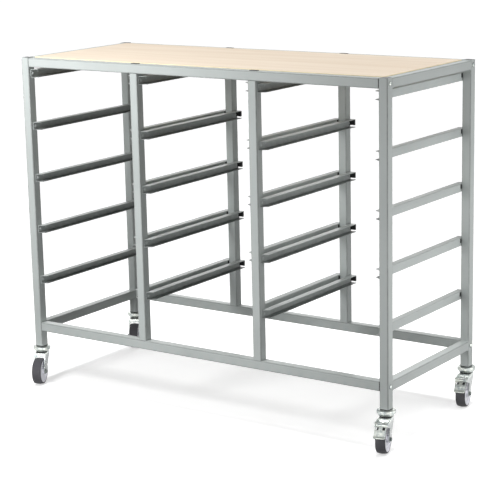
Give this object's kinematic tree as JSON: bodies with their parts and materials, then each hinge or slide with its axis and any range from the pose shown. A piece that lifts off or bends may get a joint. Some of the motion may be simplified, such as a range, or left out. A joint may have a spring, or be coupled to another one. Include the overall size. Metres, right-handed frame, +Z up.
{
  "type": "classroom tray storage unit",
  "caption": "Wheeled tray storage unit: a square steel tube frame with bays of C-section tray runners, an inset wood-look top and swivel castors, some with foot brakes.",
  "frame": {"origin": "on the floor, under the middle of the unit's outer box, castors included", "axes": "+X along the bays to the right as seen from the front, +Y from the front to the back, +Z up"},
  "size_m": [1.2012, 0.542, 0.9355],
  "materials": {
    "grey_coat": "satin silver-grey powder coat",
    "zinc_plate": "bright zinc plate",
    "wood_laminate": "matt birch-look laminate",
    "tyre": "matt grey rubber"
  },
  "bodies": {
    "frame": {"end_frame_left": "grey_coat", "end_frame_right": "grey_coat", "top_rail_front": "grey_coat", "top_rail_back": "grey_coat", "bottom_rail_front": "grey_coat", "middle_post_front_left": "grey_coat", "middle_post_front_right": "grey_coat", "bottom_rail_back": "grey_coat", "middle_post_back_left": "grey_coat", "middle_post_back_right": "grey_coat", "top_panel": "wood_laminate", "left_bay_runner_left_1": "grey_coat", "left_bay_runner_left_2": "grey_coat", "left_bay_runner_left_3": "grey_coat", "left_bay_runner_left_4": "grey_coat", "left_bay_runner_left_5": "grey_coat", "left_bay_runner_right_1": "grey_coat", "left_bay_runner_right_2": "grey_coat", "left_bay_runner_right_3": "grey_coat", "left_bay_runner_right_4": "grey_coat", "left_bay_runner_right_5": "grey_coat", "middle_bay_runner_left_1": "grey_coat", "middle_bay_runner_left_2": "grey_coat", "middle_bay_runner_left_3": "grey_coat", "middle_bay_runner_left_4": "grey_coat", "middle_bay_runner_left_5": "grey_coat", "middle_bay_runner_right_1": "grey_coat", "middle_bay_runner_right_2": "grey_coat", "middle_bay_runner_right_3": "grey_coat", "middle_bay_runner_right_4": "grey_coat", "middle_bay_runner_right_5": "grey_coat", "right_bay_runner_left_1": "grey_coat", "right_bay_runner_left_2": "grey_coat", "right_bay_runner_left_3": "grey_coat", "right_bay_runner_left_4": "grey_coat", "right_bay_runner_left_5": "grey_coat", "right_bay_runner_right_1": "grey_coat", "right_bay_runner_right_2": "grey_coat", "right_bay_runner_right_3": "grey_coat", "right_bay_runner_right_4": "grey_coat", "right_bay_runner_right_5": "grey_coat", "castor_front_left_stem": "zinc_plate", "castor_front_right_stem": "zinc_plate", "castor_back_left_stem": "zinc_plate", "castor_back_right_stem": "zinc_plate"},
    "castor_front_left_swivel": {"castor_front_left_fork": "zinc_plate", "castor_front_left_axle": "zinc_plate"},
    "castor_front_left_roller": {"castor_front_left_wheel": "tyre"},
    "castor_front_right_swivel": {"castor_front_right_fork": "zinc_plate", "castor_front_right_axle": "zinc_plate"},
    "castor_front_right_roller": {"castor_front_right_wheel": "tyre"},
    "castor_front_right_brake": {"castor_front_right_pedal": "zinc_plate"},
    "castor_back_left_swivel": {"castor_back_left_fork": "zinc_plate", "castor_back_left_axle": "zinc_plate"},
    "castor_back_left_roller": {"castor_back_left_wheel": "tyre"},
    "castor_back_right_swivel": {"castor_back_right_fork": "zinc_plate", "castor_back_right_axle": "zinc_plate"},
    "castor_back_right_roller": {"castor_back_right_wheel": "tyre"},
    "castor_back_right_brake": {"castor_back_right_pedal": "zinc_plate"}
  },
  "joints": [
    {"name": "front_left_swivel", "type": "hinge", "parent": "frame", "child": "castor_front_left_swivel", "pos_m": [-0.57607, -0.18846, 0.09], "axis": [0, 0, 1], "continuous": true},
    {"name": "front_left_wheel_spin", "type": "hinge", "parent": "castor_front_left_swivel", "child": "castor_front_left_roller", "pos_m": [-0.56387, -0.21587, 0.0375], "axis": [0.9135, 0.4067, 0], "continuous": true},
    {"name": "front_right_swivel", "type": "hinge", "parent": "frame", "child": "castor_front_right_swivel", "pos_m": [0.56393, -0.18846, 0.09], "axis": [0, 0, 1], "continuous": true},
    {"name": "front_right_wheel_spin", "type": "hinge", "parent": "castor_front_right_swivel", "child": "castor_front_right_roller", "pos_m": [0.5722, -0.2173, 0.0375], "axis": [0.9613, 0.2756, 0], "continuous": true},
    {"name": "front_right_brake_pedal", "type": "hinge", "parent": "castor_front_right_swivel", "child": "castor_front_right_brake", "pos_m": [0.57776, -0.23669, 0.07884], "axis": [0.9613, 0.2756, 0], "range_deg": [0, 10]},
    {"name": "back_left_swivel", "type": "hinge", "parent": "frame", "child": "castor_back_left_swivel", "pos_m": [-0.57607, 0.24654, 0.09], "axis": [0, 0, 1], "continuous": true},
    {"name": "back_left_wheel_spin", "type": "hinge", "parent": "castor_back_left_swivel", "child": "castor_back_left_roller", "pos_m": [-0.56107, 0.22056, 0.0375], "axis": [0.866, 0.5, 0], "continuous": true},
    {"name": "back_right_swivel", "type": "hinge", "parent": "frame", "child": "castor_back_right_swivel", "pos_m": [0.56393, 0.24654, 0.09], "axis": [0, 0, 1], "continuous": true},
    {"name": "back_right_wheel_spin", "type": "hinge", "parent": "castor_back_right_swivel", "child": "castor_back_right_roller", "pos_m": [0.57068, 0.2173, 0.0375], "axis": [0.9744, 0.225, 0], "continuous": true},
    {"name": "back_right_brake_pedal", "type": "hinge", "parent": "castor_back_right_swivel", "child": "castor_back_right_brake", "pos_m": [0.57521, 0.19766, 0.07884], "axis": [0.9744, 0.225, 0], "range_deg": [0, 10]}
  ]
}
